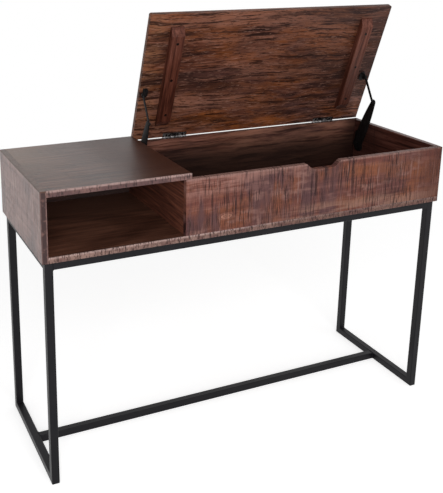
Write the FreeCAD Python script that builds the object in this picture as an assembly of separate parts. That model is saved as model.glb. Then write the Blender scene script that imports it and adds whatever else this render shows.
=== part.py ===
import FreeCAD, Part
import math
import os

os.makedirs("parts", exist_ok=True)
V = FreeCAD.Vector

# Lift-top console table: a wooden box with an open cubby at the left and a lidded store at the
# right, on a welded frame of square steel tube. Millimetres; X runs to the right, Y to the back
# and Z up from the floor, with the origin on the floor under the middle of the table.
box_length = 1150.0
box_depth = 390.0
top_height = 762.0
box_height = 174.0
board = 15.0
edge_ease = 1.2
cubby_width = 345.0

# The lid stands open as far as its stays let it.
lid_open = 70.0
lid_gap = 2.0
lid_set_back = 2.0
batten_width = 38.0
batten_thickness = 18.0
batten_inset = 62.0
batten_near = 46.0
batten_length = 307.0
batten_slope = 22.0
batten_tip = 4.0
lid_corner = 5.0

# Finger notch in the front panel's upper edge, wider at the top than at the bottom.
notch_top = 106.0
notch_bottom = 68.0
notch_depth = 16.0
notch_round = 4.0

# Loose tongues glued into stopped grooves hold the boards together.
tongue_thickness = 4.0
tongue_width = 14.0
tongue_stop = 30.0
tongue_fit = 0.1
tongue_relief = 0.5

# Frame of square tube, set in a little from the box all round.
tube = 20.0
tube_wall = 1.5
tube_round = 2.0
frame_inset = 8.0

# Butt hinges: the leaves are let into the back board's upper edge and the lid, and so is the barrel,
# by a quarter of its width.
hinge_length = 75.0
hinge_from_end = 130.0
leaf_thickness = 1.6
leaf_margin = 2.0
knuckle_radius = 3.0
knuckle_count = 3
knuckle_gap = 0.4
barrel_out = 1.5
barrel_gap = 0.4
hinge_pin_radius = 1.5
running_clearance = 0.05
recess_fit = 0.2

# Lid stays: arm and rod form a parallelogram with the lid, so the arm turns just as the lid does.
stay_lid_along = 157.0
stay_lid_drop = 10.0
stay_wall_ahead = 42.0
stay_wall_below = 72.0
plate_thickness = 2.5
plate_width = 36.0
plate_height = 66.0
plate_rise = 8.0
plate_corner = 8.0
washer_thickness = 1.0
washer_radius = 8.0
arm_thickness = 3.0
arm_root_radius = 18.0
arm_tip_radius = 9.0
arm_bulge = 5.0
rod_thickness = 3.0
rod_width = 7.0
rod_end = 5.0
link_gap = 0.5
bracket_thickness = 2.5
bracket_length = 28.0
bracket_flange = 13.0
bracket_ear_radius = 7.0
stud_radius = 2.0
stud_head_radius = 3.8
stud_head_height = 2.0
elbow_clearance = 0.3

# Countersunk wood screws, with few sides because they repeat.
screw_sides = 8
screw_shank = 1.6
screw_head = 3.2
screw_fit = 0.05
screw_length = 13.0
batten_screw_shank = 2.0
batten_screw_head = 4.0
batten_screw_length = 28.0
frame_screw_bite = 11.0

# Planes that the pieces share.
x_left = -box_length / 2
x_right = box_length / 2
y_front = -box_depth / 2
y_back = box_depth / 2
z_under = top_height - box_height
z_floor = z_under + board
z_rim = top_height - board
x_divider = x_left + board + cubby_width
x_store = x_divider + board
x_wall = x_right - board
y_panel = y_front + board
y_rear = y_back - board
x_lid = x_store + lid_gap
y_lid = y_front + lid_set_back
hinge_y = y_back + barrel_out
hinge_z = z_rim
hinge_xs = {"left": x_lid + hinge_from_end, "right": x_right - hinge_from_end}

nodes = {}


def block(x0, x1, y0, y1, z0, z1):
    """Box between two corners, given in either order."""
    low = V(min(x0, x1), min(y0, y1), min(z0, z1))
    return Part.makeBox(abs(x1 - x0), abs(y1 - y0), abs(z1 - z0), low)


def near(a, b):
    """Whether two positions are the same."""
    return abs(a - b) < 1e-4


def picked(shape, pick):
    """Edges that a test on their middle and their run chooses."""
    chosen = []
    for edge in shape.Edges:
        run = edge.Vertexes[-1].Point - edge.Vertexes[0].Point
        if pick(edge.BoundBox.Center, run):
            chosen.append(edge)
    return chosen


def arrised(shape, planes):
    """The board with a small arris on every edge where two of the named outer planes meet."""
    def outer(middle, run):
        return sum(near(getattr(middle, axis), value) for axis, value in planes) >= 2
    return shape.makeChamfer(edge_ease, picked(shape, outer))


def opened(shape):
    """Swings a piece of the shut lid up about the hinge axis."""
    turned = shape.copy()
    turned.rotate(V(0, hinge_y, hinge_z), V(1, 0, 0), -lid_open)
    return turned


def aimed(shape, point, direction):
    """Puts a piece made along +Z from the origin at a point, turned to a direction."""
    placed = shape.copy()
    placed.Placement = FreeCAD.Placement(point, FreeCAD.Rotation(V(0, 0, 1), direction))
    return placed


def stacked(levels, sides):
    """Solid with flat faces through regular polygons, given as (height, radius) along +Z."""
    rings = []
    for height, radius in levels:
        turns = [2 * math.pi * (k + 0.5) / sides for k in range(sides)]
        rings.append([V(radius * math.cos(t), radius * math.sin(t), height) for t in turns])
    outlines = [rings[0], rings[-1]]
    for low, high in zip(rings, rings[1:]):
        outlines += [[low[k - 1], low[k], high[k], high[k - 1]] for k in range(sides)]
    faces = [Part.Face(Part.makePolygon(outline + outline[:1])) for outline in outlines]
    return Part.makeSolid(Part.makeShell(faces))


def set_screws(places, shank, head, length):
    """Screws at (point, direction) places, with their pilot holes in wood and their seats in plates."""
    sink = head - shank
    tip = 2 * shank
    screw = stacked([(0, head), (sink, shank), (length - tip, shank), (length, 0.2)], screw_sides)
    pilot = stacked([(0, shank + screw_fit), (length + screw_fit, shank + screw_fit)], screw_sides)
    wide = screw_fit * 2
    seat = stacked([(0, head + wide), (sink, shank + wide), (length, shank + wide)], screw_sides)
    return [Part.makeCompound([aimed(piece, p, d) for p, d in places]) for piece in (screw, pilot, seat)]


# Boards. The left side runs the full height and hides the ends of the bottom and the cubby top.
# The front panel closes the store only and stands on the bottom board, which shows below it.
boards = {
    "left_side_board": arrised(
        block(x_left, x_left + board, y_front, y_back, z_under, top_height),
        (("x", x_left), ("y", y_front), ("y", y_back), ("z", z_under), ("z", top_height))),
    "bottom_board": arrised(
        block(x_left + board, x_right, y_front, y_back, z_under, z_floor),
        (("x", x_right), ("y", y_front), ("y", y_back), ("z", z_under))),
    "cubby_top_board": arrised(
        block(x_left + board, x_store, y_front, y_back, z_rim, top_height),
        (("x", x_store), ("y", y_front), ("y", y_back), ("z", top_height))),
    "divider_board": block(x_divider, x_store, y_panel, y_rear, z_floor, z_rim),
    "right_side_board": block(x_wall, x_right, y_panel, y_rear, z_floor, z_rim),
    "back_board": arrised(
        block(x_left + board, x_right, y_rear, y_back, z_floor, z_rim),
        (("x", x_right), ("y", y_back))),
    "front_panel": arrised(
        block(x_divider, x_right, y_front, y_panel, z_floor, z_rim),
        (("x", x_divider), ("x", x_right), ("y", y_front), ("z", z_rim))),
}

# Finger notch midway along the front panel, with rounded corners.
notch_x = (x_divider + x_right) / 2
notch_low = z_rim - notch_depth
slope = (notch_top - notch_bottom) / 2 / notch_depth
spare = 2 * notch_round
notch = [(notch_bottom / 2, notch_low), (notch_top / 2 + spare * slope, z_rim + spare)]
corners = [V(notch_x + half, y_front - 1, z) for half, z in notch]
corners += [V(notch_x - half, y_front - 1, z) for half, z in notch[::-1]]
notch_cut = Part.Face(Part.makePolygon(corners + corners[:1])).extrude(V(0, board + 2, 0))
low_edges = picked(notch_cut, lambda m, run: near(run.x, 0) and near(m.z, notch_low))
boards["front_panel"] = boards["front_panel"].cut(notch_cut.makeFillet(notch_round, low_edges))

# Tongues: (middle, axis across the joint, axis of the tongue's thickness, length along the joint).
half = board / 2
y_run = box_depth - 2 * board - 2 * tongue_stop
z_run = z_rim - z_floor - 2 * tongue_stop
z_mid = (z_floor + z_rim) / 2
joint_left = x_left + board
long_run = x_right - joint_left - 2 * tongue_stop
cubby_run = x_store - joint_left - 2 * tongue_stop
panel_run = x_right - x_divider - 2 * tongue_stop
joints = [
    (V(joint_left, 0, z_under + half), "x", "z", y_run),
    (V(joint_left, 0, top_height - half), "x", "z", y_run),
    (V(joint_left, y_back - half, z_mid), "x", "y", z_run),
    (V((joint_left + x_store) / 2, y_back - half, z_rim), "z", "y", cubby_run),
    (V((joint_left + x_right) / 2, y_back - half, z_floor), "z", "y", long_run),
    (V(notch_x, y_front + half, z_floor), "z", "y", panel_run),
    (V(x_divider + half, 0, z_rim), "z", "x", y_run)]
for x in (x_divider + half, x_right - half):
    joints.append((V(x, 0, z_floor), "z", "x", y_run))
    joints.append((V(x, y_panel, z_mid), "y", "x", z_run))
    joints.append((V(x, y_rear, z_mid), "y", "x", z_run))


def tongue(middle, across, thin, run, fit, relief):
    """Flat strip centred on a joint, with fit on its thickness and relief on its other sides."""
    size = {axis: run + 2 * relief for axis in "xyz"}
    size[across] = tongue_width + 2 * relief
    size[thin] = tongue_thickness + 2 * fit
    low = middle - V(size["x"], size["y"], size["z"]) * 0.5
    return Part.makeBox(size["x"], size["y"], size["z"], low)


nodes["carcass_tongues"] = Part.makeCompound([tongue(*joint, 0, 0) for joint in joints])
grooves = Part.makeCompound([tongue(*joint, tongue_fit, tongue_relief) for joint in joints])
for name in boards:
    boards[name] = boards[name].cut(grooves)

# Lid, made shut and swung open, with its two front corners rounded.
lid = block(x_lid, x_right, y_lid, y_back, z_rim, top_height)
upright = picked(lid, lambda m, run: near(m.y, y_lid) and near(abs(run.z), board))
lid = arrised(
    lid.makeFillet(lid_corner, upright),
    (("x", x_lid), ("x", x_right), ("y", y_lid), ("y", y_back), ("z", z_rim), ("z", top_height)))

# Two battens under the lid keep it flat; their ends slope down to a thin tip.
batten_back = hinge_y - batten_near
batten_front = batten_back - batten_length
batten_low = z_rim - batten_thickness
batten_xs = {"left": x_lid + batten_inset, "right": x_right - batten_inset - batten_width}
slopes = [(0, z_rim), (0, z_rim - batten_tip), (batten_slope, batten_low)]
battens = {}
places = []
for side, x in batten_xs.items():
    outline = [V(x, batten_front + y, z) for y, z in slopes]
    outline += [V(x, batten_back - y, z) for y, z in slopes[::-1]]
    strip = Part.Face(Part.makePolygon(outline + outline[:1])).extrude(V(batten_width, 0, 0))
    battens[side] = arrised(strip, (("x", x), ("x", x + batten_width), ("z", batten_low)))
    for share in (0.14, 0.5, 0.86):
        point = V(x + batten_width / 2, batten_front + share * batten_length, batten_low)
        places.append((point, V(0, 0, 1)))
screws, pilots, seats = set_screws(places, batten_screw_shank, batten_screw_head, batten_screw_length)
lid = lid.cut(pilots)
for side, strip in battens.items():
    nodes["lid_batten_" + side] = opened(strip.cut(seats))
nodes["batten_screws"] = opened(screws)


def hinge_leaf(middle, upper):
    """Leaf with its share of the barrel's knuckles; the lower leaf carries the end knuckles."""
    start = middle - hinge_length / 2
    step = hinge_length / knuckle_count
    z = hinge_z if upper else hinge_z - leaf_thickness
    clear_y = hinge_y - knuckle_radius - knuckle_gap
    leaf = block(start, start + hinge_length, y_rear + leaf_margin, clear_y, z, z + leaf_thickness)
    for k in range(knuckle_count):
        if (k % 2 == 1) == upper:
            first = start + k * step + (knuckle_gap if k > 0 and upper else 0)
            last = start + (k + 1) * step - (knuckle_gap if k < knuckle_count - 1 and upper else 0)
            web = block(first, last, clear_y, hinge_y, z, z + leaf_thickness)
            barrel = Part.makeCylinder(knuckle_radius, last - first, V(first, hinge_y, hinge_z), V(1, 0, 0))
            leaf = leaf.fuse([web, barrel])
    bore_radius = hinge_pin_radius + running_clearance
    bore = Part.makeCylinder(bore_radius, hinge_length, V(start, hinge_y, hinge_z), V(1, 0, 0))
    return leaf.cut(bore).removeSplitter()


# Two hinges: the lower leaf lies in the back board's upper edge, the upper one in the lid.
screw_y = (y_rear + leaf_margin + y_back) / 2
for name, upper, way in (("body", False, V(0, 0, -1)), ("lid", True, V(0, 0, 1))):
    places = []
    for x in hinge_xs.values():
        for share in (-0.34, 0.34):
            places.append((V(x + share * hinge_length, screw_y, hinge_z), way))
    screws, pilots, seats = set_screws(places, screw_shank, screw_head, screw_length)
    recess_z = z_rim + leaf_thickness * (1 if upper else -1)
    recess_y = y_rear + leaf_margin - recess_fit
    cuts = [pilots]
    for side, x in hinge_xs.items():
        half_leaf = hinge_length / 2 + recess_fit
        cuts.append(block(x - half_leaf, x + half_leaf, recess_y, y_back + 1, z_rim, recess_z))
        start = V(x - half_leaf, hinge_y, hinge_z)
        cuts.append(Part.makeCylinder(knuckle_radius + barrel_gap, 2 * half_leaf, start, V(1, 0, 0)))
        leaf = hinge_leaf(x, upper).cut(seats)
        nodes["hinge_" + side + "_" + name + "_leaf"] = opened(leaf) if upper else leaf
    nodes["hinge_" + name + "_screws"] = opened(screws) if upper else screws
    if upper:
        lid = lid.cut(cuts)
    else:
        boards["back_board"] = boards["back_board"].cut(cuts)
for side, x in hinge_xs.items():
    start = V(x - hinge_length / 2, hinge_y, hinge_z)
    nodes["hinge_" + side + "_pin"] = Part.makeCylinder(hinge_pin_radius, hinge_length, start, V(1, 0, 0))

# Pivots of the stays in the Y-Z plane, for the open lid. The rod keeps the direction from the
# hinge axis to the wall pivot, and the arm that from the hinge axis to the lid pivot.
swing = math.radians(lid_open)
wall_pivot = V(0, hinge_y - stay_wall_ahead, hinge_z - stay_wall_below)
shut_pivot = V(0, hinge_y - stay_lid_along, hinge_z - stay_lid_drop)
reach = V(0, -stay_lid_along * math.cos(swing) - stay_lid_drop * math.sin(swing),
          stay_lid_along * math.sin(swing) - stay_lid_drop * math.cos(swing))
lid_pivot = V(0, hinge_y, hinge_z) + reach
elbow = wall_pivot + reach
arm_way = reach * (1 / reach.Length)
arm_side = V(0, -arm_way.z, arm_way.y)

# Layers of a stay, counted from the wall into the store.
arm_depth = plate_thickness + washer_thickness
rod_depth = arm_depth + arm_thickness + link_gap
ear_depth = rod_depth + rod_thickness + link_gap


def arm_outline():
    """Wide arm, full in its middle and slimmer at the elbow."""
    root_front = wall_pivot + arm_side * arm_root_radius
    tip_front = elbow + arm_side * arm_tip_radius
    root_back = wall_pivot - arm_side * arm_root_radius
    tip_back = elbow - arm_side * arm_tip_radius
    front_middle = (root_front + tip_front) * 0.5 + arm_side * arm_bulge
    back_middle = (root_back + tip_back) * 0.5 - arm_side * arm_bulge
    return Part.Wire([
        Part.Arc(root_back, wall_pivot - arm_way * arm_root_radius, root_front).toShape(),
        Part.Arc(root_front, front_middle, tip_front).toShape(),
        Part.Arc(tip_front, elbow + arm_way * arm_tip_radius, tip_back).toShape(),
        Part.Arc(tip_back, back_middle, root_back).toShape()])


class Stay:
    """One stay, on a wall at X = wall_x; inward is +1 or -1, the way from that wall into the store."""

    def __init__(self, wall_x, inward):
        self.wall_x = wall_x
        self.way = V(inward, 0, 0)
        self.inward = inward

    def depth(self, value):
        return self.wall_x + self.inward * value

    def layer(self, outline, depth, thickness):
        face = Part.Face(outline)
        face.translate(V(self.depth(depth), 0, 0))
        return face.extrude(self.way * thickness)

    def disc(self, centre, radius, depth, thickness):
        return Part.makeCylinder(radius, thickness, V(self.depth(depth), centre.y, centre.z), self.way)

    def stud(self, centre, depth, length, sign):
        """Pivot stud with a hexagon head, standing on a plate at depth and pointing inward or outward."""
        way = self.way * sign
        base = V(self.depth(depth), centre.y, centre.z)
        shank = Part.makeCylinder(stud_radius, length, base, way)
        head = stacked([(0, stud_head_radius), (stud_head_height, stud_head_radius)], 6)
        return shank.fuse(aimed(head, base + way * length, way))

    def wall_plate(self):
        low = wall_pivot.z - plate_height / 2 + plate_rise
        edge_y = wall_pivot.y - plate_width / 2
        far_y = edge_y + plate_width
        high = low + plate_height
        plate = block(self.wall_x, self.depth(plate_thickness), edge_y, far_y, low, high)
        edges = picked(plate, lambda m, run: near(abs(run.x), plate_thickness))
        plate = plate.makeChamfer(plate_corner, edges)
        at = [(edge_y + plate_corner, high - plate_corner), (far_y - plate_corner, low + plate_corner)]
        return plate, [(V(self.depth(plate_thickness), y, z), self.way * -1) for y, z in at]

    def washer(self):
        ring = self.disc(wall_pivot, washer_radius, plate_thickness, washer_thickness)
        bore_radius = stud_radius + running_clearance
        return ring.cut(self.disc(wall_pivot, bore_radius, plate_thickness, washer_thickness))

    def arm(self):
        plate = self.layer(arm_outline(), arm_depth, arm_thickness)
        return plate.cut(self.disc(wall_pivot, stud_radius + running_clearance, arm_depth, arm_thickness))

    def rod(self):
        """Flat strip with its corners cut off and a hole near each end."""
        run = lid_pivot - elbow
        run.normalize()
        ends = [elbow - run * rod_end, lid_pivot + run * rod_end]
        across = V(0, -run.z, run.y) * (rod_width / 2)
        sides = [ends[0] + across, ends[1] + across, ends[1] - across, ends[0] - across]
        bar = self.layer(Part.makePolygon(sides + sides[:1]), rod_depth, rod_thickness)
        bar = bar.makeChamfer(rod_width / 3, picked(bar, lambda m, way: near(abs(way.x), rod_thickness)))
        holes = [self.disc(elbow, stud_radius + elbow_clearance, rod_depth, rod_thickness),
                 self.disc(lid_pivot, stud_radius + running_clearance, rod_depth, rod_thickness)]
        return bar.cut(holes)

    def lid_bracket(self):
        """Flange on the shut lid's underside and an ear hanging from it."""
        inner = self.depth(ear_depth + bracket_thickness + bracket_flange)
        ends = (shut_pivot.y - bracket_length / 2, shut_pivot.y + bracket_length / 2)
        flange = block(self.depth(ear_depth), inner, ends[0], ends[1], z_rim - bracket_thickness, z_rim)
        tips = picked(flange, lambda m, run: near(m.x, inner) and near(abs(run.z), bracket_thickness))
        flange = flange.makeChamfer(2 * bracket_thickness, tips)
        r = bracket_ear_radius
        drop = [(1.6 * r, z_rim), (r, shut_pivot.z), (0.5 * r, shut_pivot.z - 0.87 * r)]
        half_ear = [V(0, shut_pivot.y + y, z) for y, z in drop]
        other_half = [V(0, shut_pivot.y - y, z) for y, z in drop[::-1]]
        outline = Part.makePolygon(half_ear + other_half + half_ear[:1])
        ear = self.layer(outline, ear_depth, bracket_thickness)
        middle = self.depth(ear_depth + bracket_thickness + bracket_flange / 2)
        screw_ys = [shut_pivot.y + share * bracket_length for share in (-0.34, 0.34)]
        at = [V(middle, y, z_rim - bracket_thickness) for y in screw_ys]
        return flange.fuse(ear).removeSplitter(), [(point, V(0, 0, 1)) for point in at]


# One stay on the divider and one on the right wall.
stays = {"left": Stay(x_store, 1), "right": Stay(x_wall, -1)}
plates = {}
brackets = {}
wall_places = []
bracket_places = []
for side, stay in stays.items():
    plates[side], at = stay.wall_plate()
    wall_places += at
    brackets[side], at = stay.lid_bracket()
    bracket_places += at
    nodes["stay_" + side + "_arm"] = stay.arm()
    nodes["stay_" + side + "_rod"] = stay.rod()
    rod_grip = link_gap + rod_thickness + elbow_clearance
    nodes["stay_" + side + "_elbow_stud"] = stay.stud(elbow, arm_depth + arm_thickness, rod_grip, 1)
    nodes["stay_" + side + "_lid_stud"] = opened(stay.stud(shut_pivot, ear_depth, rod_grip, -1))
    wall_grip = washer_thickness + arm_thickness + running_clearance
    nodes["stay_" + side + "_wall_stud"] = stay.stud(wall_pivot, plate_thickness, wall_grip, 1)
nodes["stay_friction_washers"] = Part.makeCompound([stay.washer() for stay in stays.values()])
screws, pilots, seats = set_screws(wall_places, screw_shank, screw_head, screw_length)
nodes["stay_wall_screws"] = screws
for name in ("divider_board", "right_side_board"):
    boards[name] = boards[name].cut(pilots)
for side, plate in plates.items():
    nodes["stay_" + side + "_wall_plate"] = plate.cut(seats)
screws, pilots, seats = set_screws(bracket_places, screw_shank, screw_head, screw_length)
nodes["stay_lid_screws"] = opened(screws)
nodes["lid_panel"] = opened(lid.cut(pilots))
for side, bracket in brackets.items():
    nodes["stay_" + side + "_lid_bracket"] = opened(bracket.cut(seats))


def square_tube(start, way, length):
    """Length of square tube with rounded corners, from the middle of its first end."""
    body = Part.makeBox(tube, tube, length, V(-tube / 2, -tube / 2, 0))
    body = body.makeFillet(tube_round, picked(body, lambda m, run: near(abs(run.z), length)))
    bore = tube - 2 * tube_wall
    body = body.cut(Part.makeBox(bore, bore, length, V(-bore / 2, -bore / 2, 0)))
    return aimed(body, start, way)


def corner_wedges(x, y, toward, z, up):
    """The two halves of a mitred corner: the one that goes to the rail and the one that goes to the leg."""
    at = V(x - tube, y, z)
    inner = at + V(0, toward * tube, up * tube)
    wedges = []
    for third in (at + V(0, toward * tube, 0), at + V(0, 0, up * tube)):
        face = Part.Face(Part.makePolygon([at, third, inner, at]))
        wedges.append(face.extrude(V(2 * tube, 0, 0)))
    return wedges


# Frame: two mitred side frames, joined by a front and a rear rail under the box and by one floor
# stretcher midway between the feet.
half_tube = tube / 2
side_xs = {"left": x_left + frame_inset + half_tube, "right": x_right - frame_inset - half_tube}
frame_front = y_front + frame_inset
frame_back = y_back - frame_inset
leg_ys = {"front": frame_front + half_tube, "rear": frame_back - half_tube}
for side, x in side_xs.items():
    wedges = {}
    for end, y, toward in (("front", frame_front, 1), ("rear", frame_back, -1)):
        wedges[end, "foot"] = corner_wedges(x, y, toward, 0, 1)
        wedges[end, "top"] = corner_wedges(x, y, toward, z_under, -1)
    for end, y in leg_ys.items():
        leg = square_tube(V(x, y, 0), V(0, 0, 1), z_under)
        nodes["leg_" + end + "_" + side] = leg.cut([wedges[end, "foot"][0], wedges[end, "top"][0]])
    for level, z in (("foot", half_tube), ("top", z_under - half_tube)):
        rail = square_tube(V(x, frame_front, z), V(0, 1, 0), frame_back - frame_front)
        nodes[level + "_rail_" + side] = rail.cut([wedges["front", level][1], wedges["rear", level][1]])
inner_left = side_xs["left"] + half_tube
inner_span = side_xs["right"] - side_xs["left"] - tube
nodes["floor_stretcher"] = square_tube(V(inner_left, 0, half_tube), V(1, 0, 0), inner_span)

# Long screws go up through the cross rails into the bottom board.
places = []
for y in leg_ys.values():
    for share in (0.15, 0.5, 0.85):
        places.append((V(inner_left + share * inner_span, y, z_under - tube), V(0, 0, 1)))
screws, pilots, seats = set_screws(places, batten_screw_shank, batten_screw_head, tube + frame_screw_bite)
nodes["frame_screws"] = screws
boards["bottom_board"] = boards["bottom_board"].cut(pilots)
for end, y in leg_ys.items():
    rail = square_tube(V(inner_left, y, z_under - half_tube), V(1, 0, 0), inner_span)
    nodes["top_rail_" + end] = rail.cut(seats)

nodes.update(boards)
for name, shape in nodes.items():
    shape.exportStep("parts/" + name + ".step")
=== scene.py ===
import math

import bmesh
import bpy
import numpy as np
from mathutils import Euler, Matrix, Quaternion, Vector


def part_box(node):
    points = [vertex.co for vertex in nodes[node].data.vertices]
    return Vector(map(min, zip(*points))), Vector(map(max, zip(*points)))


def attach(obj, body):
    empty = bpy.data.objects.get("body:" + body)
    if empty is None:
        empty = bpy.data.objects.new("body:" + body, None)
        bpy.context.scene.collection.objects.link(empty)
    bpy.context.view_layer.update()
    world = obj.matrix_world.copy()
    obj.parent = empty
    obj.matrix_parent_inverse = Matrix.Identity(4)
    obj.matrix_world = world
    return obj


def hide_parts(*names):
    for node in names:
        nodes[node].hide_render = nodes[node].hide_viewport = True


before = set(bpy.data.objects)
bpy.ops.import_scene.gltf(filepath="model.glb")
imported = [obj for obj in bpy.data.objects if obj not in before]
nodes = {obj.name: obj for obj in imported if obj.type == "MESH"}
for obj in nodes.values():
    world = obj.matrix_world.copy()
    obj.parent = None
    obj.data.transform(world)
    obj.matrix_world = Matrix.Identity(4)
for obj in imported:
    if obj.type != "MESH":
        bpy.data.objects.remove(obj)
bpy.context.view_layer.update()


# Steel frame: 20 mm square tube with 2 mm corners, mitred and welded into two closed side frames.
# Three cross tubes join them, and the whole is powder coated in satin black.
class Socket:
    """One output of a finish's shader tree; sums and products of it add Math nodes."""

    def __init__(self, tree, socket):
        self.tree = tree
        self.socket = socket

    def node(self, kind, settings, sockets, output=0):
        """Adds a node of a kind, sets it up, feeds its sockets and gives one of its outputs."""
        made = self.tree.nodes.new(kind)
        for name, value in settings.items():
            setattr(made, name, value)
        for name, value in sockets.items():
            if isinstance(value, Socket):
                self.tree.links.new(value.socket, made.inputs[name])
            else:
                made.inputs[name].default_value = value
        return Socket(self.tree, made.outputs[output]) if made.outputs else None

    def maths(self, operation, first, second):
        return self.node("ShaderNodeMath", {"operation": operation}, {0: first, 1: second})

    def __add__(self, other):
        return self.maths("ADD", self, other)

    def __sub__(self, other):
        return self.maths("SUBTRACT", self, other)

    def __rsub__(self, other):
        return self.maths("SUBTRACT", other, self)

    def __mul__(self, other):
        return self.maths("MULTIPLY", self, other)

    def __pow__(self, other):
        return self.maths("POWER", self, other)

    __radd__ = __add__
    __rmul__ = __mul__

    def step(self, low, high):
        """Smooth rise from 0 at low to 1 at high."""
        return self.node("ShaderNodeMapRange", {"interpolation_type": "SMOOTHSTEP"},
                         {"Value": self, "From Min": low, "From Max": high})

    def mix(self, first, second, share):
        """First colour with a share of the second in it; a colour is a socket or three numbers."""
        first, second = (side if isinstance(side, Socket) else (*side, 1) for side in (first, second))
        factor, colour_a, colour_b, result = 0, 6, 7, 2
        return self.node("ShaderNodeMix", {"data_type": "RGBA"},
                         {factor: share, colour_a: first, colour_b: second}, result)

    def noise(self, cells, seed, detail=2.0, rough=0.5):
        """Noise on this place, with so many cells to the metre along each axis."""
        shift = (seed, seed * 1.7, seed * 2.3)
        spread = self.node("ShaderNodeMapping", {}, {"Vector": self, "Location": shift, "Scale": cells})
        return self.node("ShaderNodeTexNoise", {}, {
            "Vector": spread, "Scale": 1.0, "Detail": detail, "Roughness": rough})

    def noise_along(self, detail):
        """Noise along a line, on this value."""
        return self.node("ShaderNodeTexNoise", {"noise_dimensions": "1D"}, {
            "W": self, "Scale": 1.0, "Detail": detail, "Roughness": 0.6})


def new_finish(name):
    """Empty material, with the place on the piece that its pattern starts from."""
    material = bpy.data.materials.new(name)
    material.use_nodes = True
    material.node_tree.nodes.clear()
    start = Socket(material.node_tree, None)
    return material, start.node("ShaderNodeTexCoord", {}, {}, "Object")


def surface(place, sockets, height, depth):
    """Ends a finish with its lacquered or painted surface; depth is how far the height goes in."""
    pressed = place.node("ShaderNodeBump", {}, {"Height": height, "Strength": 1.0, "Distance": depth})
    shader = place.node("ShaderNodeBsdfPrincipled", {}, dict(sockets, Normal=pressed))
    place.node("ShaderNodeOutputMaterial", {}, {"Surface": shader})


def dress(names, material):
    """Gives CAD pieces their finish."""
    for name in names:
        for slot in nodes[name].material_slots:
            slot.material = material


coat_black = (0.0030, 0.0027, 0.0042)
coat_grey = (0.0070, 0.0060, 0.0080)
peel_depth = 0.00012
powder_coat, place = new_finish("black_powder_coat")
peel = place.noise((420, 420, 420), seed=1.0, detail=3.0, rough=0.6)
cloud = place.noise((9, 9, 9), seed=4.0, detail=3.0)
surface(place, {
    "Base Color": place.mix(coat_black, coat_grey, cloud.step(0.35, 0.75)),
    "Roughness": 0.32 + peel * 0.12 + cloud * 0.08,
    "Specular IOR Level": 0.18}, peel, peel_depth)
tubes = ("leg_", "foot_rail_", "top_rail_", "floor_stretcher")
dress([name for name in nodes if name.startswith(tubes)], powder_coat)


# Weld beads: short runs of steel filler in the inner corners, where the tubes meet. They are left
# as they were laid, with their ripples, and coated with the frame.
def turned(name, levels, sides):
    """Round bar along +Z through (height, radius) levels, drawn out of a disc ring by ring."""
    bpy.ops.object.select_all(action="DESELECT")
    start, radius = levels[0]
    bpy.ops.mesh.primitive_circle_add(
        vertices=sides, radius=radius, fill_type="NGON", location=(0, 0, start))
    bar = bpy.context.object
    bar.name = name
    bpy.ops.object.transform_apply(location=True)
    bpy.ops.object.mode_set(mode="EDIT")
    bpy.ops.mesh.select_all(action="SELECT")
    for (low, before), (high, after) in zip(levels, levels[1:]):
        bpy.ops.mesh.extrude_region_move(TRANSFORM_OT_translate={"value": (0, 0, high - low)})
        grow = after / before
        bpy.ops.transform.resize(value=(grow, grow, 1), center_override=(0, 0, high))
    bpy.ops.mesh.select_all(action="SELECT")
    bpy.ops.mesh.normals_make_consistent(inside=False)
    bpy.ops.object.mode_set(mode="OBJECT")
    return bar


smooth_below = math.radians(40)
roll_step = 0.7


def set_out(name, master, places):
    """Copies of a master along +Z, each moved to a (point, direction), joined into one piece."""
    bpy.ops.object.select_all(action="DESELECT")
    for count, (point, way) in enumerate(places):
        mesh = master.data.copy()
        roll = Matrix.Rotation(roll_step * count, 4, "Z")
        mesh.transform(Matrix.Translation(point) @ way.to_track_quat("Z", "X").to_matrix().to_4x4() @ roll)
        copy = bpy.data.objects.new(name, mesh)
        bpy.context.scene.collection.objects.link(copy)
        copy.select_set(True)
        bpy.context.view_layer.objects.active = copy
    if len(places) > 1:
        bpy.ops.object.join()
    joined = bpy.context.view_layer.objects.active
    joined.name = name
    bpy.ops.object.shade_smooth_by_angle(angle=smooth_below)
    return joined


def finish_piece(piece, material, body, slot, *replaced):
    """Coats a new piece, hangs it on the body it moves with and hides the CAD pieces it stands for."""
    piece.data.materials.clear()
    piece.data.materials.append(material)
    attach(piece, body)
    if replaced:
        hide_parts(*replaced)


bead_length = 0.017
bead_radius = 0.0021
bead_tail = 0.0008
tail_radius = 0.0006
valley = 0.86
ripples = 9
bead_sides = 8
levels = [(-0.5 * bead_length - bead_tail, tail_radius)]
for k in range(2 * ripples + 1):
    swell = 1.0 if k % 2 else valley
    levels.append((bead_length * (k / (2 * ripples) - 0.5), bead_radius * swell))
levels.append((0.5 * bead_length + bead_tail, tail_radius))
bead = turned("weld_bead", levels, bead_sides)
along_x, along_y, along_z = Vector((1, 0, 0)), Vector((0, 1, 0)), Vector((0, 0, 1))
low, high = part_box("floor_stretcher")
places = []
for x in (low.x, high.x):
    places.append((Vector((x, 0, high.z)), along_y))
    places += [(Vector((x, y, (low.z + high.z) / 2)), along_z) for y in (low.y, high.y)]
for rail in ("top_rail_front", "top_rail_rear"):
    low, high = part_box(rail)
    inner_y = high.y if low.y < 0 else low.y
    for x in (low.x, high.x):
        places.append((Vector((x, (low.y + high.y) / 2, low.z)), along_y))
        places.append((Vector((x, inner_y, (low.z + high.z) / 2)), along_z))
for hand in ("left", "right"):
    foot_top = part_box("foot_rail_" + hand)[1].z
    rail_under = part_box("top_rail_" + hand)[0].z
    for end in ("front", "rear"):
        low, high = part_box("leg_%s_%s" % (end, hand))
        inner_y = high.y if low.y < 0 else low.y
        for z in (foot_top, rail_under):
            places.append((Vector(((low.x + high.x) / 2, inner_y, z)), along_x))
finish_piece(set_out("weld_beads", bead, places), powder_coat, "carcass", "frame_black")
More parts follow.
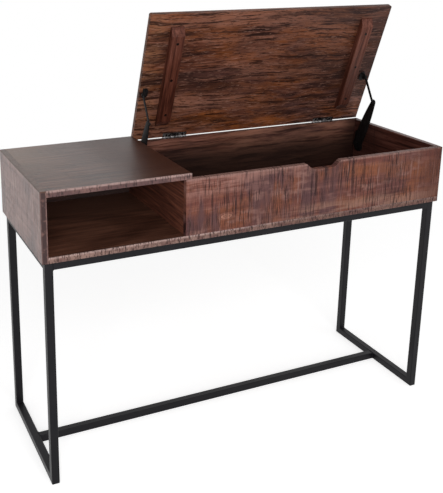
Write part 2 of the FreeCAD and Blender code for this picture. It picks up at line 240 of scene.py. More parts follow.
bpy.data.objects.remove(bead)


# Bottom board: 15 mm acacia from the left side to the right end, planed inside and screwed down on
# the frame. Its front edge shows below the front panel, rubbed pale and nicked by the saw.
class Timber:
    """Finish of one acacia board: grain along the first axis of order, width along the second."""

    rings_to_metre = 60.0
    ring_wander = 0.16
    pith_depth = 0.05
    pith_lean = 0.06
    patch_share, fine_share, fibre_share = 0.8, 1.3, 0.6
    lacquer_rough = 0.27

    def __init__(self, name, order, seed, turn=0.0):
        self.seed = seed
        self.material, place = new_finish(name)
        if turn:
            place = place.node("ShaderNodeMapping", {}, {"Vector": place, "Rotation": (turn, 0, 0)})
        self.axes = {a: place.node("ShaderNodeSeparateXYZ", {}, {0: place}, a.upper()) for a in "xyz"}
        self.u, self.v, self.w = (self.axes[a] for a in order)
        self.lie = self.join(self.u, self.v, self.w)

    def join(self, u, v, w):
        return self.u.node("ShaderNodeCombineXYZ", {}, {0: u, 1: v, 2: w})

    def noise(self, cells, layer, detail=2.0, rough=0.5):
        return self.lie.noise(cells, self.seed + layer, detail, rough)

    def figure(self, dark, middle, pale, rings=1.0, streaks=1.0, run=3.2, wavy=0.0, spread=0.45):
        """Growth rings and fibres along the grain, from dark summer wood to pale spring wood."""
        drift = self.noise((1.3, 5.0, 5.0), 0.0) - 0.5
        pith_shift = 0.011 * self.seed % 0.15
        across = self.v + drift * self.ring_wander + pith_shift
        depth = self.w + self.u * self.pith_lean + self.pith_depth
        ring = (across * across + depth * depth) ** 0.5
        bands = (ring * self.rings_to_metre + self.seed).noise_along(detail=3.0)
        ripple = self.noise((5, 8, 8), 13.0) - 0.5
        self.flow = self.join(self.u, self.v + ripple * wavy, self.w)
        broad = self.flow.noise((run, 95, 95), self.seed + 2.0, 3.0, 0.6)
        fine = self.flow.noise((3 * run, 190, 190), self.seed + 5.0, 3.0, 0.65)
        self.fibre = self.flow.noise((26, 700, 700), self.seed + 8.0, 2.0, 0.6)
        patch = self.noise((3.0, 10, 10), 11.0, 3.0, 0.55)
        ringed = bands + patch * self.patch_share - 0.5 * (1 + self.patch_share)
        streaked = broad + fine * self.fine_share + self.fibre * self.fibre_share
        streaked = streaked - 0.5 * (1 + self.fine_share + self.fibre_share)
        self.grain = ringed * (0.9 * rings) + streaked * streaks + 0.5
        rise = self.lie.mix(dark, middle, self.grain.step(0.5 - spread, 0.52))
        self.colour = self.lie.mix(rise, pale, self.grain.step(0.48, 0.5 + spread))
        self.height = self.grain * 0.6 + self.fibre * 0.4
        self.rough = 0.06 * self.fibre

    def stain(self, colour, cells, layer, rise, share, where=1.0, cut=0.0, detail=3.0):
        """Clouds, bands or lines of another tone, drawn by its cells to the metre along and across
        the grain. Rise is the noise at which it starts and is full, cut how deep it goes in."""
        cloud = self.flow.noise(cells, self.seed + layer, detail, 0.65).step(*rise) * where
        self.colour = self.lie.mix(self.colour, colour, cloud * share)
        if cut:
            self.height = self.height - cloud * cut

    def shade(self, where, colour, share):
        """Evenly toned where a mask says."""
        self.colour = self.lie.mix(self.colour, colour, where * share)

    def knot(self, u, v, radius, dark, pale, share):
        """Knot at a place along and across the board, with the rings closing round it."""
        long_axis = 2.5 * radius
        wander = self.noise((40, 40, 40), 71.0, 3.0) * 0.6 - 0.3
        off = self.join((self.u - u) * (1 / long_axis), (self.v - v) * (1 / radius), 0.0)
        far = self.lie.node("ShaderNodeVectorMath", {"operation": "LENGTH"}, {0: off}, "Value") + wander
        rings = (far * 4.0 + self.seed).noise_along(detail=2.0).step(0.38, 0.62)
        self.shade(far.step(1.0, 0.4), self.lie.mix(dark, pale, rings), share)

    def plane(self, axis, at, inward, reach):
        """How near a place is to an outer plane of the board: 0 past reach, 1 within 0.4 of it."""
        return ((self.axes[axis] - at) * inward).step(reach, 0.4 * reach)

    def rub(self, where, colour, share, layer=21.0):
        """Rubs the stain off where a mask says, unevenly."""
        uneven = self.noise((70, 70, 70), layer, 3.0, 0.6).step(0.25, 0.62)
        self.colour = self.lie.mix(self.colour, colour, where * (0.35 + 0.65 * uneven) * share)

    def finish(self, names, rough, gloss, depth=0.0003, lacquer=0.0):
        """Oiled surface, with lacquer over it where asked, on the boards of these names."""
        surface(self.lie, {
            "Base Color": self.colour, "Roughness": rough + self.rough, "Specular IOR Level": gloss,
            "Coat Weight": lacquer, "Coat Roughness": self.lacquer_rough}, self.height, depth)
        dress(names, self.material)


y_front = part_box("bottom_board")[0].y
z_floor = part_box("bottom_board")[1].z
edge_reach = 0.004
soot = (0.020, 0.0095, 0.0095)
painted_back_light = (0.190, 0.0900, 0.0620)
rubbed_edge = (0.280, 0.1750, 0.1480)
stained_edge = (0.125, 0.0600, 0.0540)
worn_arris_highlight = (0.480, 0.3400, 0.3100)
bottom = Timber("bottom_acacia", "xyz", 7.0)
bottom.figure((0.046, 0.0180, 0.0115), (0.112, 0.0460, 0.0290), (0.190, 0.0820, 0.0510), spread=0.38)
# Painted light: the floor of the cubby and the store is painted paler towards the back.
bottom.shade(bottom.axes["y"].step(-0.05, 0.16), painted_back_light, 0.6)
front_edge = bottom.plane("y", y_front, 1, edge_reach)
arris = front_edge * bottom.plane("z", z_floor, -1, 0.006)
under_panel = bottom.axes["x"].step(-0.20, 0.20)
bottom.shade(front_edge, rubbed_edge, 0.95 - 0.45 * under_panel)
bottom.stain(stained_edge, (26, 9, 30), layer=26, rise=(0.42, 0.62), share=0.75, where=front_edge)
# The pale upper arris is partly wear and partly a painted highlight.
bottom.shade(arris, worn_arris_highlight, 0.65 - 0.5 * under_panel)
bottom.stain(soot, (340, 20, 60), layer=31, rise=(0.52, 0.60), share=0.8, where=front_edge, cut=1.0)
bottom.stain(soot, (480, 40, 140), layer=41, rise=(0.54, 0.64), share=0.65, where=front_edge)
bottom.finish(["bottom_board"], rough=0.34, gloss=0.10)


# Left side: a full-height acacia board that hides the ends of the bottom, the back and the cubby's
# top, tongued and glued to them. Its outer face is left from the saw, its upper edge planed flush.
side_low, side_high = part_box("left_side_board")
z_top = side_high.z
grey_cloud = (0.130, 0.0740, 0.0740)
torn_fibre = (0.460, 0.2800, 0.2400)
dark_end = (0.042, 0.0185, 0.0175)
outer_arris = (0.180, 0.1050, 0.0950)
inner_arris = (0.220, 0.1200, 0.1050)
planed_edge = (0.100, 0.0470, 0.0290)
side = Timber("left_side_acacia", "yzx", 11.0)
side.figure((0.150, 0.0700, 0.0600), (0.290, 0.1480, 0.1250), (0.400, 0.2250, 0.1900), streaks=0.6)
side.stain(grey_cloud, (16, 5, 5), layer=27, rise=(0.42, 0.66), share=0.7)
side.stain(torn_fibre, (70, 9, 9), layer=29, rise=(0.54, 0.70), share=0.6, cut=-0.5)
side.stain(soot, (110, 12, 12), layer=31, rise=(0.54, 0.70), share=0.5, cut=0.8)
side.stain(soot, (240, 30, 30), layer=41, rise=(0.56, 0.66), share=0.7, cut=0.8)
front_edge = side.plane("y", y_front, 1, edge_reach)
side.rub(front_edge, dark_end, 1.5)
side.rub(front_edge * side.plane("x", side_low.x, 1, 0.0030), outer_arris, 0.9, layer=25)
side.rub(front_edge * side.plane("x", side_high.x, -1, 0.0035), inner_arris, 0.9, layer=27)
side.rub(side.plane("z", z_top, -1, edge_reach), planed_edge, 1.3, layer=24)
side.finish(["left_side_board"], rough=0.28, gloss=0.28, depth=0.0005)


# Divider: a planed acacia board between the cubby and the store, its grain from front to back.
# Tongues hold it to the bottom, the front panel, the back and the cubby's top.
divider = Timber("divider_acacia", "yzx", 17.0)
divider.figure((0.044, 0.0150, 0.0100), (0.145, 0.0500, 0.0330), (0.280, 0.1000, 0.0600), spread=0.35)
divider.finish(["divider_board"], rough=0.34, gloss=0.15)


# Right side: an acacia board between the front panel and the back, tongued and glued to both and
# to the bottom. It is planed inside, painted with shadow towards the back, and left from the saw outside.
face_reach = 0.008
painted_corner_shadow = (0.040, 0.0180, 0.0150)
sawn_face = (0.210, 0.1020, 0.0860)
sawn_cloud = (0.110, 0.0560, 0.0540)
right = Timber("right_side_acacia", "yzx", 23.0)
right.figure((0.036, 0.0120, 0.0090), (0.098, 0.0320, 0.0230), (0.175, 0.0680, 0.0500), spread=0.35)
right.stain(soot, (120, 6, 6), layer=31, rise=(0.58, 0.72), share=0.5, cut=0.6)
outside = right.plane("x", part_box("right_side_board")[1].x, -1, face_reach)
# Painted shadow on the inner face, towards the back corner.
right.shade((1 - outside) * right.axes["y"].step(-0.02, 0.12), painted_corner_shadow, 0.6)
right.shade(outside, sawn_face, 0.75)
right.stain(sawn_cloud, (16, 5, 5), layer=27, rise=(0.42, 0.66), share=0.7, where=outside)
right.stain(soot, (110, 12, 12), layer=33, rise=(0.54, 0.70), share=0.5, where=outside, cut=0.8)
right.stain(soot, (240, 30, 30), layer=41, rise=(0.56, 0.66), share=0.7, where=outside, cut=0.8)
right.finish(["right_side_board"], rough=0.34, gloss=0.15)


# Back board: one acacia board behind cubby and store, tongued and glued to the bottom and the
# sides. Its broad rings and a knot show in the store; painted shade darkens it low down, in its
# right corner and in the cubby, and painted light pales its streaks towards the right.
grey_stain = (0.056, 0.0280, 0.0270)
pale_flow = (0.360, 0.1650, 0.1100)
pale_streak = (0.270, 0.1150, 0.0820)
dark_streak = (0.020, 0.0080, 0.0060)
fine_streak = (0.024, 0.0100, 0.0080)
painted_store_shadow = (0.017, 0.0090, 0.0072)
painted_back_corner_shadow = (0.018, 0.0075, 0.0060)
painted_cubby_shade = (0.038, 0.0265, 0.0250)
back = Timber("back_acacia", "xzy", 29.0)
back.figure((0.036, 0.0130, 0.0095), (0.130, 0.0460, 0.0310), (0.250, 0.1060, 0.0760),
            rings=2.4, streaks=0.5, wavy=0.03, spread=0.34)
back.knot(0.300, 0.690, 0.060, (0.060, 0.0210, 0.0150), (0.210, 0.0850, 0.0560), share=0.55)
back.stain(grey_stain, (4, 11, 11), layer=17, rise=(0.44, 0.64), share=0.75)
inside = back.plane("y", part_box("back_board")[0].y, 1, face_reach)
in_store = back.axes["x"].step(-0.215, -0.195)
to_right = back.axes["x"].step(-0.24, 0.20)
# More pale streaks towards the right: partly the board's figure, partly painted light on the store's back
# wall.
back.stain(pale_flow, (5, 42, 42), layer=37, rise=(0.36, 0.64), share=0.7, where=to_right * inside,
           detail=5.0)
back.stain(pale_streak, (6, 60, 60), layer=35, rise=(0.56, 0.72), share=0.5)
back.stain(dark_streak, (5, 75, 75), layer=33, rise=(0.53, 0.66), share=0.75)
back.stain(fine_streak, (9, 190, 190), layer=39, rise=(0.54, 0.66), share=0.6, where=inside, cut=0.4)
# Painted shadow: the store's back wall is darkened low down, where the front panel shades it.
back.shade(back.plane("z", z_floor, 1, 0.150) * in_store * inside, painted_store_shadow, 0.9)
# Painted shadow in the store's back right corner.
back.shade(back.axes["x"].step(0.49, 0.56) * inside, painted_back_corner_shadow, 0.7)
# Painted shade on the back wall inside the cubby.
back.shade((1 - in_store) * inside, painted_cubby_shade, 0.8)
back.finish(["back_board"], rough=0.45, gloss=0.05)


# Front panel: acacia rough from the saw, with its strokes across the grain, stained and rubbed
# back, so that the strokes stay dark. It is tongued to the bottom, the divider and the right side,
# and the finger notch is cut into its upper edge.
z_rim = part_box("front_panel")[1].z
rust = (0.250, 0.0860, 0.0380)
slate = (0.088, 0.0460, 0.0500)
worn = (0.290, 0.1500, 0.1250)
worn_left = (0.340, 0.1700, 0.1400)
worn_right = (0.290, 0.1550, 0.1150)
rubbed_rim = (0.300, 0.1700, 0.1450)
saw_stroke = (0.036, 0.0160, 0.0175)
torn_stroke = (0.290, 0.1600, 0.1350)
dark_end = (0.085, 0.0270, 0.0180)
panel = Timber("front_acacia", "xzy", 37.0)
panel.figure((0.080, 0.0270, 0.0205), (0.150, 0.0520, 0.0400), (0.240, 0.1020, 0.0770),
             streaks=0.6, wavy=0.006, spread=0.42)
to_right = panel.axes["x"].step(0.12, 0.40)
panel.stain(rust, (5, 18, 18), layer=17, rise=(0.42, 0.60), share=0.75, where=0.6 + 0.4 * to_right)
panel.stain(slate, (13, 3.5, 3.5), layer=14, rise=(0.46, 0.62), share=0.8, where=1 - to_right * 0.6)
panel.stain(worn, (9, 22, 22), layer=19, rise=(0.53, 0.68), share=0.65)
upper_left = panel.axes["x"].step(0.05, -0.10) * panel.axes["z"].step(0.685, 0.725)
lower_right = panel.axes["x"].step(-0.05, 0.20) * panel.axes["z"].step(0.650, 0.615)
panel.stain(worn_left, (6, 60, 60), layer=18, rise=(0.36, 0.54), share=0.85, where=upper_left)
panel.stain(worn_right, (6, 70, 70), layer=20, rise=(0.40, 0.58), share=0.75, where=lower_right)
panel.knot(-0.104, 0.639, 0.012, (0.160, 0.0600, 0.0430), (0.380, 0.1800, 0.1280), share=0.8)
panel.shade(panel.plane("z", z_rim, -1, 0.006), rubbed_rim, 0.75)
struck = 0.2 + 0.8 * panel.noise((13, 6, 6), 67.0, 3.0, 0.6).step(0.42, 0.57)
panel.stain(saw_stroke, (92, 5, 5), layer=31, rise=(0.53, 0.68), share=0.7, where=struck, cut=0.8)
panel.stain(torn_stroke, (150, 9, 9), layer=36, rise=(0.57, 0.70), share=0.6, cut=-0.5)
panel.stain(soot, (250, 7, 7), layer=41, rise=(0.55, 0.61), share=0.85, where=0.15 + 0.85 * struck,
            cut=1.4)
panel.stain(soot, (430, 22, 22), layer=51, rise=(0.55, 0.61), share=0.8, where=0.4 + 0.6 * struck,
            cut=1.0)
panel.shade(panel.axes["x"].step(0.43, 0.56), dark_end, 0.58)
panel.finish(["front_panel"], rough=0.42, gloss=0.10, depth=0.0004)


# Cubby top: the fixed part of the table's top, an acacia board planed and lacquered to a satin
# shine. It is tongued to the left side, the divider and the back, and its front edge is rubbed.
dark_line = (0.034, 0.0120, 0.0075)
saw_mark = (0.020, 0.0080, 0.0055)
painted_lid_shade = (0.036, 0.0100, 0.0048)
painted_sheen = (0.240, 0.1450, 0.0950)
rubbed_edge = (0.200, 0.1050, 0.0930)
stained_edge = (0.095, 0.0470, 0.0470)
worn_arris_highlight = (0.500, 0.3400, 0.3100)
top = Timber("cubby_top_acacia", "xyz", 3.0)
top.figure((0.046, 0.0170, 0.0100), (0.100, 0.0400, 0.0240), (0.170, 0.0760, 0.0500),
           streaks=1.3, spread=0.32)
top.stain(dark_line, (7, 80, 80), layer=23, rise=(0.52, 0.64), share=0.8, detail=5.0)
top.stain(saw_mark, (90, 14, 14), layer=25, rise=(0.57, 0.70), share=0.6, cut=0.5)
# Painted shade: the top is darkened on the right for the shade and dark reflection of the lid beside it.
top.shade(top.axes["x"].step(-0.50, -0.28), painted_lid_shade, 0.8)
# Painted sheen: the far left corner is painted paler, for the gloss that the light gives it there.
far_corner = top.axes["x"].step(-0.40, -0.57) * top.axes["y"].step(-0.18, 0.16)
top.shade(far_corner, painted_sheen, 0.7)
front_edge = top.plane("y", y_front, 1, edge_reach)
top.shade(front_edge, rubbed_edge, 0.95)
top.stain(stained_edge, (20, 9, 30), layer=26, rise=(0.40, 0.58), share=0.85, where=front_edge)
# The pale upper arris is partly wear and partly a painted highlight.
top.shade(front_edge * top.plane("z", z_top, -1, 0.0065), worn_arris_highlight, 0.65)
top.stain(soot, (340, 20, 60), layer=31, rise=(0.53, 0.61), share=0.8, where=front_edge, cut=1.0)
duller = top.axes["x"].step(-0.42, -0.30)
top.finish(["cubby_top_board"], rough=0.27 + 0.10 * duller, gloss=0.265, depth=0.0004)


# Tongues: loose strips of raw beech, 4 mm thick, glued into stopped grooves in the boards' edges.
# They hold the box together and are hidden once it is glued up.
beech_dark = (0.36, 0.210, 0.115)
beech_pale = (0.52, 0.340, 0.200)
beech, place = new_finish("beech")
fleck = place.noise((90, 300, 300), seed=2.0, detail=3.0, rough=0.6)
surface(place, {
    "Base Color": place.mix(beech_dark, beech_pale, fleck.step(0.3, 0.7)),
    "Roughness": 0.5 + fleck * 0.15}, fleck, depth=0.0001)
dress(["carcass_tongues"], beech)


# Lid: one 15 mm acacia panel with a lively figure and knots, stained as the box and lacquered on
# its outer face. Its pattern is laid out on the shut lid, so the open lid's is turned by its swing.
lid_swing = math.radians(70)
lid_thickness = 0.015
amber = (0.250, 0.0740, 0.0190)
grey_stain = (0.062, 0.0330, 0.0320)
pale_flow = (0.300, 0.1300, 0.0860)
left_strip = (0.340, 0.1500, 0.0780)
right_strip = (0.210, 0.1100, 0.0920)
dark_flow = (0.024, 0.0100, 0.0080)
dark_streak = (0.020, 0.0080, 0.0062)
pale_streak = (0.280, 0.1200, 0.0800)
dark_line = (0.014, 0.0045, 0.0030)
dark_fleck = (0.012, 0.0040, 0.0028)
pale_fleck = (0.330, 0.1700, 0.1250)
grey_corner = (0.042, 0.0225, 0.0200)
dark_heart = (0.032, 0.0115, 0.0080)
outer_tone = (0.092, 0.0350, 0.0210)
lid = Timber("lid_acacia", "xyz", 43.0, lid_swing)
lid.figure((0.038, 0.0105, 0.0060), (0.122, 0.0400, 0.0220), (0.230, 0.0960, 0.0620),
           rings=0.9, streaks=0.8, run=2.6, wavy=0.032, spread=0.32)
near_hinge = lid.axes["y"].step(-0.88, -0.70)
to_right = lid.axes["x"].step(0.10, 0.45)
lid.stain(amber, (3.0, 12, 12), layer=17, rise=(0.42, 0.58), share=0.4 + 0.5 * near_hinge)
lid.stain(grey_stain, (4.0, 12, 12), layer=27, rise=(0.46, 0.62), share=0.5 + 0.3 * to_right)
lid.knot(0.168, -0.852, 0.022, (0.020, 0.0080, 0.0060), (0.150, 0.0560, 0.0360), share=0.6)
lid.knot(0.349, -0.873, 0.026, (0.024, 0.0110, 0.0090), (0.170, 0.0700, 0.0420), share=0.6)
lid.knot(0.382, -0.811, 0.022, (0.018, 0.0080, 0.0070), (0.120, 0.0500, 0.0360), share=0.7)
lid.stain(pale_flow, (1.6, 9, 9), layer=25, rise=(0.52, 0.66), share=0.55, detail=4.0)
left_end = lid.axes["x"].step(-0.14, -0.17)
right_end = lid.axes["x"].step(0.49, 0.53)
lid.stain(left_strip, (6, 44, 44), layer=45, rise=(0.38, 0.62), share=0.65, where=left_end)
lid.stain(right_strip, (6, 44, 44), layer=47, rise=(0.34, 0.60), share=0.65, where=right_end)
lid.stain(dark_flow, (1.5, 9, 9), layer=29, rise=(0.51, 0.60), share=0.7, detail=6.0)
lid.stain(dark_streak, (2.4, 40, 40), layer=31, rise=(0.54, 0.62), share=0.8, detail=5.0)
lid.stain(pale_streak, (9, 130, 130), layer=35, rise=(0.55, 0.66), share=0.55, detail=4.0)
lid.stain(dark_line, (8, 120, 120), layer=33, rise=(0.55, 0.62), share=0.85, cut=0.6, detail=4.0)
lid.stain(dark_fleck, (50, 330, 330), layer=37, rise=(0.55, 0.62), share=0.7, cut=0.5)
lid.stain(pale_fleck, (44, 300, 300), layer=39, rise=(0.59, 0.66), share=0.5)
lid.shade(to_right * lid.axes["y"].step(-0.90, -1.00), grey_corner, 0.5)
mid_right = lid.axes["x"].step(0.12, 0.34) * lid.axes["y"].step(-0.95, -0.87)
mid_right = mid_right * lid.axes["y"].step(-0.72, -0.80)
lid.shade(mid_right, dark_heart, 0.35)
pin_low, pin_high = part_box("hinge_right_pin")
pin_axis = Vector((0, (pin_low.y + pin_high.y) / 2, (pin_low.z + pin_high.z) / 2))
shut_pin = Matrix.Rotation(lid_swing, 3, "X") @ pin_axis
outside = lid.plane("z", shut_pin.z + lid_thickness, -1, 0.005)
lid.shade(outside, outer_tone, 0.6)
lid.finish(["lid_panel"], rough=0.36, gloss=0.08, lacquer=outside * 0.50)


# Battens: two acacia strips screwed across the lid's underside to keep it flat, with their ends
# sloped off. Both are darker towards the hinge, the right one more.
hinge_shade = (0.045, 0.0135, 0.0085)
for hand, seed, share in (("left", 53.0, 0.1), ("right", 59.0, 0.6)):
    batten = Timber(hand + "_batten_acacia", "yxz", seed, lid_swing)
    batten.figure((0.034, 0.0085, 0.0050), (0.098, 0.0280, 0.0165), (0.170, 0.0600, 0.0400), spread=0.35)
    batten.shade(batten.axes["y"].step(-0.96, -0.78), hinge_shade, share)
    batten.finish(["lid_batten_" + hand], rough=0.36, gloss=0.15)


# Hinges: steel butts let into the back board and the lid, their sheet edges rounded over by the
# press. The dark plating has worn bright on the knuckles.
def worn_finish(name, bright, dull, rough, metal, gloss=0.5):
    """Plated, painted or moulded surface with cloudy wear."""
    material, place = new_finish(name)
    cloud = place.noise((140, 140, 140), seed=2.0, detail=3.0, rough=0.6)
    surface(place, {
        "Base Color": place.mix(dull, bright, cloud.step(0.35, 0.7)), "Metallic": metal,
        "Roughness": rough + cloud * 0.2, "Specular IOR Level": gloss}, cloud, depth=0.00005)
    return material


merge_within = 0.000002


def eased(node, ease):
    """Copy of a CAD piece with its sharp edges rounded over."""
    piece = bpy.data.objects.new(node + "_eased", nodes[node].data.copy())
    bpy.context.scene.collection.objects.link(piece)
    bpy.ops.object.select_all(action="DESELECT")
    piece.select_set(True)
    bpy.context.view_layer.objects.active = piece
    if piece.data.has_custom_normals:
        bpy.ops.mesh.customdata_custom_splitnormals_clear()
    bpy.ops.object.mode_set(mode="EDIT")
    bpy.ops.mesh.select_all(action="SELECT")
    bpy.ops.mesh.remove_doubles(threshold=merge_within)
    bpy.ops.mesh.dissolve_limited(angle_limit=math.radians(1))
    bpy.ops.object.mode_set(mode="OBJECT")
    rounding = piece.modifiers.new("rounding", "BEVEL")
    rounding.width = ease
    rounding.segments = 2
    rounding.limit_method = "ANGLE"
    rounding.angle_limit = smooth_below
    bpy.ops.object.modifier_apply(modifier="rounding")
    bpy.ops.object.shade_smooth_by_angle(angle=smooth_below)
    return piece


leaf_ease = 0.0003
hinge_steel = worn_finish("hinge_steel", bright=(0.40, 0.38, 0.38), dull=(0.016, 0.014, 0.014),
                          rough=0.24, metal=1.0)
for hand in ("left", "right"):
    for leaf, body in (("body_leaf", "carcass"), ("lid_leaf", "lid"), ("pin", "carcass")):
        node = "hinge_%s_%s" % (hand, leaf)
        finish_piece(eased(node, leaf_ease), hinge_steel, body, "hinge_steel", node)


# Screws: countersunk steel wood screws with a cross recess and a rolled thread, blackened. Long
# ones hold the battens and the frame, short ones the hinges and the stays.
def wood_screw(head, shank, length):
    """One screw along +Z, its head's face at the origin; head and shank are radii."""
    rim, point = 0.0002, 0.00015
    pitch = 0.8 * shank
    core = 0.72 * shank
    thread_end = length - 2 * shank
    turns = int((0.55 * length) / pitch)
    levels = [(0, 0.96 * head), (rim, head), (head - shank, shank)]
    for k in range(turns):
        low = thread_end - (turns - k) * pitch
        levels += [(low, core), (low + 0.42 * pitch, shank), (low + 0.58 * pitch, shank)]
    levels += [(thread_end, core), (length, point)]
    screw = turned("wood_screw", levels, 12)

    arm, slit, sink, proud = 0.62 * head, 0.14 * head, 0.5 * head, 0.0005
    deep_share = 0.45
    bpy.ops.object.select_all(action="DESELECT")
    bpy.ops.mesh.primitive_cube_add(size=2 * slit, location=(0, 0, 0))
    cutter = bpy.context.object
    bpy.ops.object.mode_set(mode="EDIT")
    bpy.ops.mesh.select_mode(type="FACE")

    def select_faces(chosen):
        """Selects only the cutter's faces whose middle a test chooses, with the slit as its unit."""
        bpy.ops.mesh.select_all(action="DESELECT")
        mesh = bmesh.from_edit_mesh(cutter.data)
        for face in mesh.faces:
            if chosen(face.calc_center_median() / slit):
                face.select_set(True)
        bmesh.update_edit_mesh(cutter.data)

    for way in (along_x, -along_x, along_y, -along_y):
        select_faces(lambda middle: (middle - way).length < 0.1)
        bpy.ops.mesh.extrude_region_move(TRANSFORM_OT_translate={"value": way * (arm - slit)})
    select_faces(lambda middle: middle.z < -0.5)
    bpy.ops.transform.translate(value=(0, 0, slit - proud))
    select_faces(lambda middle: middle.z > 0.5)
    bpy.ops.transform.translate(value=(0, 0, sink - slit))
    bpy.ops.transform.resize(value=(deep_share, deep_share, 1), center_override=(0, 0, sink))
    bpy.ops.object.mode_set(mode="OBJECT")

    recess = screw.modifiers.new("recess", "BOOLEAN")
    recess.operation = "DIFFERENCE"
    recess.solver = "EXACT"
    recess.object = cutter
    bpy.ops.object.select_all(action="DESELECT")
    screw.select_set(True)
    bpy.context.view_layer.objects.active = screw
    bpy.ops.object.modifier_apply(modifier="recess")
    bpy.data.objects.remove(cutter)
    return screw


def screw_places(node):
    """Where each CAD screw of a node has its head's face, and the way it points."""
    solids = bmesh.new()
    solids.from_mesh(nodes[node].data)
    bmesh.ops.remove_doubles(solids, verts=solids.verts, dist=merge_within)
    left = set(solids.verts)
    end_depth = 0.0001
    places = []
    while left:
        group, edge = set(), [left.pop()]
        while edge:
            vert = edge.pop()
            group.add(vert)
            new = {link.other_vert(vert) for link in vert.link_edges} & left
            left -= new
            edge += new
        points = np.array([vert.co for vert in group])
        middle = points.mean(axis=0)
        way = np.linalg.svd(points - middle)[2][0]
        along = (points - middle) @ way
        ends = [points[along < along.min() + end_depth], points[along > along.max() - end_depth]]
        widths = [np.linalg.norm(end - end.mean(axis=0), axis=1).max() for end in ends]
        head, tip = (ends if widths[0] > widths[1] else ends[::-1])
        point = Vector(head.mean(axis=0))
        places.append((point, (Vector(tip.mean(axis=0)) - point).normalized()))
    solids.free()
    return sorted(places, key=lambda place: tuple(place[0]))


screw_steel = worn_finish("screw_steel", bright=(0.026, 0.023, 0.022), dull=(0.005, 0.0045, 0.004),
                          rough=0.4, metal=0.9, gloss=0.2)
for head, shank, length, groups in (
        (0.0040, 0.0020, 0.028, {"batten_screws": "lid"}),
        (0.0040, 0.0020, 0.031, {"frame_screws": "carcass"}),
        (0.0032, 0.0016, 0.013, {"hinge_body_screws": "carcass", "hinge_lid_screws": "lid",
                                 "stay_wall_screws": "carcass", "stay_lid_screws": "lid"})):
    screw = wood_screw(head, shank, length)
    for node, body in groups.items():
        fitted = set_out(node + "_threaded", screw, screw_places(node))
        finish_piece(fitted, screw_steel, body, "screw_steel", node)
    bpy.data.objects.remove(screw)


# Lid stays: arms, rods, plates and brackets pressed from steel and painted black, with hexagon
# studs at the pivots. The wall plates are screwed to the box and the brackets to the lid.
plate_ease, arm_ease, stud_ease = 0.0006, 0.0007, 0.0003
stay_black = worn_finish("stay_black", bright=(0.0110, 0.0095, 0.0095), dull=(0.0048, 0.0040, 0.0040),
                         rough=0.45, metal=0.0, gloss=0.12)
for hand in ("left", "right"):
    arm_body, rod_body = "stay_%s_arm" % hand, "stay_%s_rod" % hand
    for part, body, ease in (
            ("wall_plate", "carcass", plate_ease), ("wall_stud", "carcass", stud_ease),
            ("arm", arm_body, arm_ease), ("elbow_stud", arm_body, stud_ease), ("rod", rod_body, plate_ease),
            ("lid_bracket", "lid", plate_ease), ("lid_stud", "lid", stud_ease)):
        node = "stay_%s_%s" % (hand, part)
        finish_piece(eased(node, ease), stay_black, body, "stay_black", node)


# Friction washers: moulded nylon discs between the stays' wall plates and arms, left in their
# natural white. Squeezed by the wall studs, they hold the lid wherever it is left.
nylon = worn_finish("nylon", bright=(0.60, 0.58, 0.52), dull=(0.45, 0.43, 0.38), rough=0.45, metal=0.0)
dress(["stay_friction_washers"], nylon)


# Studio floor: a wide sheet of pale paper under the table, which keeps its soft shadow. It is lit
# up and runs out to plain white for what the camera sees, and is no part of the table.
def seen_rays(start):
    """1 for the rays that show the studio: to the camera, in a reflection or through glass."""
    rays = [start.node("ShaderNodeLightPath", {}, {}, "Is %s Ray" % kind)
            for kind in ("Camera", "Glossy", "Transmission")]
    return start.maths("MINIMUM", rays[0] + rays[1] + rays[2], 1.0)


floor_radius = 14.0
white_from, white_past = 1.2, 3.0
white = (1, 1, 1, 1)
paper_grey = (0.84, 0.84, 0.84, 1)
bpy.ops.object.select_all(action="DESELECT")
bpy.ops.mesh.primitive_circle_add(vertices=96, radius=floor_radius, fill_type="NGON", location=(0, 0, 0))
floor = bpy.context.object
floor.name = "studio_floor"
floor_paper, place = new_finish("floor_paper")
seen = seen_rays(place)
far = place.node("ShaderNodeVectorMath", {"operation": "LENGTH"}, {0: place}, "Value")
paper = place.node("ShaderNodeBsdfDiffuse", {}, {"Color": paper_grey})
lift = place.node("ShaderNodeEmission", {}, {"Color": white, "Strength": 0.60})
lit_paper = place.node("ShaderNodeAddShader", {}, {0: paper, 1: lift})
near_ground = place.node("ShaderNodeMixShader", {}, {0: seen, 1: paper, 2: lit_paper})
plain_white = place.node("ShaderNodeEmission", {}, {"Color": white, "Strength": 1.0})
ground = place.node("ShaderNodeMixShader", {}, {
    0: seen * far.step(white_from, white_past), 1: near_ground, 2: plain_white})
place.node("ShaderNodeOutputMaterial", {}, {"Surface": ground})
floor.data.materials.append(floor_paper)


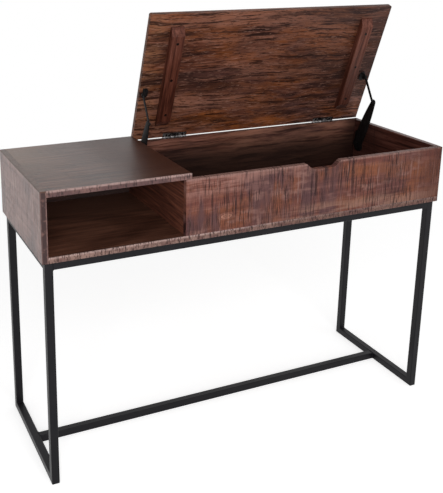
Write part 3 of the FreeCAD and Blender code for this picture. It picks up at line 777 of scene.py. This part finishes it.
# Studio surround: white walls all round for what is seen directly or in a reflection. As a source
# of light they are dim, so that the lamps shape the table.
ambient = 0.36
world = bpy.data.worlds.new("studio")
bpy.context.scene.world = world
world.use_nodes = True
world.node_tree.nodes.clear()
start = Socket(world.node_tree, None)
dim_walls = start.node("ShaderNodeBackground", {}, {"Color": white, "Strength": ambient})
white_walls = start.node("ShaderNodeBackground", {}, {"Color": white, "Strength": 1.0})
walls = start.node("ShaderNodeMixShader", {}, {0: seen_rays(start), 1: dim_walls, 2: white_walls})
start.node("ShaderNodeOutputWorld", {}, {"Surface": walls})


# Lamps: a large soft box in front of the table, a little to the left, and a weaker one at its
# right. Both are turned to the middle of the table.
aim = Vector((0, 0, 0.7))
for name, spot, size, power in (
        ("front_softbox", (-0.9, -3.2, 1.65), 2.6, 76),
        ("right_softbox", (2.6, -2.4, 1.5), 2.8, 14)):
    lamp = bpy.data.lights.new(name, "AREA")
    lamp.size = size
    lamp.energy = power
    stand = bpy.data.objects.new(name, lamp)
    stand.location = spot
    stand.rotation_mode = "QUATERNION"
    stand.rotation_quaternion = (aim - Vector(spot)).to_track_quat("-Z", "Y")
    bpy.context.scene.collection.objects.link(stand)


# Camera: stands where the photograph was taken from, left of the table and looking down on it, for
# a picture of 443 by 493 pixels. Its lens is shifted, so that the table fills the picture.
width, height = 443, 493
focal_pixels = 800.2
lens_axis = (168.0, 147.0)
sensor_height = 36.0
tilt, pan, roll = math.radians(-15.049), math.radians(-24.421), 0.0082
sight = bpy.data.cameras.new("viewpoint")
sight.sensor_fit = "VERTICAL"
sight.sensor_height = sensor_height
sight.sensor_width = sensor_height * width / height
sight.lens = focal_pixels * sensor_height / height
sight.shift_x = (width / 2 - lens_axis[0]) / height
sight.shift_y = (lens_axis[1] - height / 2) / height
camera = bpy.data.objects.new("viewpoint", sight)
camera.location = (-1.01130, -1.83898, 1.31887)
camera.rotation_mode = "QUATERNION"
heading = Euler((math.radians(90) + tilt, 0, pan)).to_quaternion()
camera.rotation_quaternion = heading @ Quaternion((0, 0, 1), roll)
bpy.context.scene.collection.objects.link(camera)
bpy.context.scene.camera = camera
bpy.context.scene.view_settings.view_transform = "Standard"
